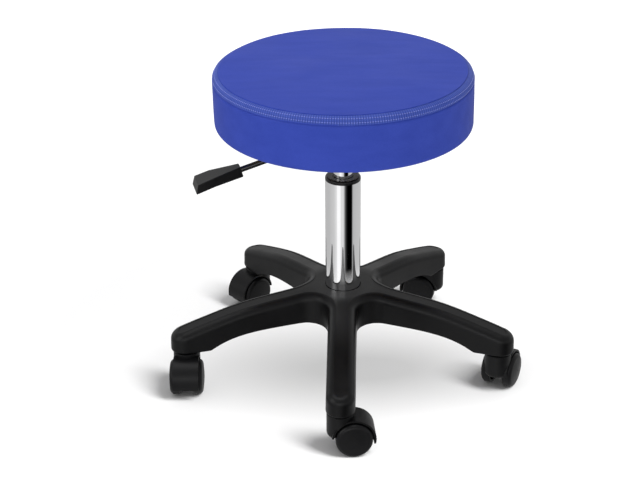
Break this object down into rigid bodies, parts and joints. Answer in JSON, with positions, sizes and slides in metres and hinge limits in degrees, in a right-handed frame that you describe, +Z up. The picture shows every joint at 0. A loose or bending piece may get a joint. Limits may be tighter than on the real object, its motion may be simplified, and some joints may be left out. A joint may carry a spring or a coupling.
{
  "type": "stool",
  "caption": "Round padded stool on a gas lift, with a release lever under the seat and a star base on hooded casters.",
  "frame": {"origin": "on the floor, under the column's axis", "axes": "+Z up along the column, -Y along the front arm (0.8 degrees off), the release lever out towards -X"},
  "size_m": [0.506, 0.4762, 0.4583],
  "materials": {
    "blue_vinyl": "satin",
    "foam": "matte",
    "plywood": "matte",
    "chrome": "polished",
    "steel": "satin",
    "black_paint": "satin",
    "black_nylon": "satin",
    "wheel_plastic": "matte",
    "grip_plastic": "satin",
    "white_nylon": "satin",
    "rubber": "matte"
  },
  "bodies": {
    "base": {"star_base": "black_nylon", "hub_ring": "steel", "column_tube": "chrome", "guide_bush": "black_nylon", "thrust_washer_lower": "steel", "caster_grip_rings": "steel"},
    "ball_cage": {"bearing_cage": "white_nylon", "bearing_balls": "steel"},
    "gas_rod": {"piston_rod": "steel", "piston": "white_nylon", "retaining_clip": "steel", "thrust_washer_upper": "steel", "buffer": "rubber"},
    "seat": {"pressure_tube": "chrome", "valve_body": "white_nylon", "inner_cylinder": "steel", "rod_seal": "rubber", "rod_guide": "white_nylon", "mounting_plate": "black_paint", "lever_channel": "black_paint", "taper_socket": "steel", "lever_pivot_pin": "steel", "plate_bolts": "steel", "plate_washers": "steel", "seat_tee_nuts": "steel", "seat_board": "plywood", "seat_foam": "foam", "seat_cover": "blue_vinyl", "cover_staples": "steel"},
    "lever": {"lever_rod": "black_paint", "lever_grip": "grip_plastic"},
    "valve": {"valve_pin": "steel"},
    "caster_front": {"hood_front": "black_nylon", "stem_front": "steel", "axle_front": "steel"},
    "wheel_left_front": {"wheel_left_front": "wheel_plastic"},
    "wheel_right_front": {"wheel_right_front": "wheel_plastic"},
    "caster_front_right": {"hood_front_right": "black_nylon", "stem_front_right": "steel", "axle_front_right": "steel"},
    "wheel_left_front_right": {"wheel_left_front_right": "wheel_plastic"},
    "wheel_right_front_right": {"wheel_right_front_right": "wheel_plastic"},
    "caster_back_right": {"hood_back_right": "black_nylon", "stem_back_right": "steel", "axle_back_right": "steel"},
    "wheel_left_back_right": {"wheel_left_back_right": "wheel_plastic"},
    "wheel_right_back_right": {"wheel_right_back_right": "wheel_plastic"},
    "caster_back_left": {"hood_back_left": "black_nylon", "stem_back_left": "steel", "axle_back_left": "steel"},
    "wheel_left_back_left": {"wheel_left_back_left": "wheel_plastic"},
    "wheel_right_back_left": {"wheel_right_back_left": "wheel_plastic"},
    "caster_front_left": {"hood_front_left": "black_nylon", "stem_front_left": "steel", "axle_front_left": "steel"},
    "wheel_left_front_left": {"wheel_left_front_left": "wheel_plastic"},
    "wheel_right_front_left": {"wheel_right_front_left": "wheel_plastic"}
  },
  "joints": [
    {"name": "seat_swivel", "type": "hinge", "parent": "base", "child": "gas_rod", "pos_m": [0, 0, 0.09], "axis": [0, 0, 1], "continuous": true},
    {"name": "cage_turn", "type": "hinge", "parent": "base", "child": "ball_cage", "pos_m": [0, 0, 0.09], "axis": [0, 0, 1], "continuous": true},
    {"name": "height_lift", "type": "slide", "parent": "gas_rod", "child": "seat", "axis": [0, 0, 1], "range_m": [0, 0.13]},
    {"name": "lever_tilt", "type": "hinge", "parent": "seat", "child": "lever", "pos_m": [-0.02911, -0.00726, 0.35], "axis": [-0.2419, 0.9703, 0], "range_deg": [0, 7], "stiffness_Nm_per_rad": 1.5, "springref_deg": -14.32},
    {"name": "valve_press", "type": "slide", "parent": "seat", "child": "valve", "axis": [0, 0, -1], "range_m": [0, 0.0037]},
    {"name": "caster_swivel_front", "type": "hinge", "parent": "base", "child": "caster_front", "pos_m": [-0.00326, -0.23348, 0.06], "axis": [0, 0, 1], "continuous": true},
    {"name": "wheel_spin_left_front", "type": "hinge", "parent": "caster_front", "child": "wheel_left_front", "pos_m": [0.01367, -0.232, 0.025], "axis": [-0.0872, 0.9962, 0], "continuous": true},
    {"name": "wheel_spin_right_front", "type": "hinge", "parent": "caster_front", "child": "wheel_right_front", "pos_m": [0.01367, -0.232, 0.025], "axis": [-0.0872, 0.9962, 0], "continuous": true},
    {"name": "caster_swivel_front_right", "type": "hinge", "parent": "base", "child": "caster_front_right", "pos_m": [0.22104, -0.07525, 0.06], "axis": [0, 0, 1], "continuous": true},
    {"name": "wheel_spin_left_front_right", "type": "hinge", "parent": "caster_front_right", "child": "wheel_left_front_right", "pos_m": [0.2285, -0.05997, 0.025], "axis": [-0.8988, 0.4384, 0], "continuous": true},
    {"name": "wheel_spin_right_front_right", "type": "hinge", "parent": "caster_front_right", "child": "wheel_right_front_right", "pos_m": [0.2285, -0.05997, 0.025], "axis": [-0.8988, 0.4384, 0], "continuous": true},
    {"name": "caster_swivel_back_right", "type": "hinge", "parent": "base", "child": "caster_back_right", "pos_m": [0.13987, 0.18697, 0.06], "axis": [0, 0, 1], "continuous": true},
    {"name": "wheel_spin_left_back_right", "type": "hinge", "parent": "caster_back_right", "child": "wheel_left_back_right", "pos_m": [0.12345, 0.19137, 0.025], "axis": [-0.2588, -0.9659, 0], "continuous": true},
    {"name": "wheel_spin_right_back_right", "type": "hinge", "parent": "caster_back_right", "child": "wheel_right_back_right", "pos_m": [0.12345, 0.19137, 0.025], "axis": [-0.2588, -0.9659, 0], "continuous": true},
    {"name": "caster_swivel_back_left", "type": "hinge", "parent": "base", "child": "caster_back_left", "pos_m": [-0.1346, 0.1908, 0.06], "axis": [0, 0, 1], "continuous": true},
    {"name": "wheel_spin_left_back_left", "type": "hinge", "parent": "caster_back_left", "child": "wheel_left_back_left", "pos_m": [-0.14662, 0.17878, 0.025], "axis": [0.7071, -0.7071, 0], "continuous": true},
    {"name": "wheel_spin_right_back_left", "type": "hinge", "parent": "caster_back_left", "child": "wheel_right_back_left", "pos_m": [-0.14662, 0.17878, 0.025], "axis": [0.7071, -0.7071, 0], "continuous": true},
    {"name": "caster_swivel_front_left", "type": "hinge", "parent": "base", "child": "caster_front_left", "pos_m": [-0.22306, -0.06905, 0.06], "axis": [0, 0, 1], "continuous": true},
    {"name": "wheel_spin_left_front_left", "type": "hinge", "parent": "caster_front_left", "child": "wheel_left_front_left", "pos_m": [-0.22276, -0.08604, 0.025], "axis": [0.9998, 0.0175, 0], "continuous": true},
    {"name": "wheel_spin_right_front_left", "type": "hinge", "parent": "caster_front_left", "child": "wheel_right_front_left", "pos_m": [-0.22276, -0.08604, 0.025], "axis": [0.9998, 0.0175, 0], "continuous": true}
  ],
  "couplings": [
    {"joint": "cage_turn", "follows": "seat_swivel", "ratio": 0.5},
    {"joint": "valve_press", "follows": "lever_tilt", "m_per_rad": 0.03}
  ]
}
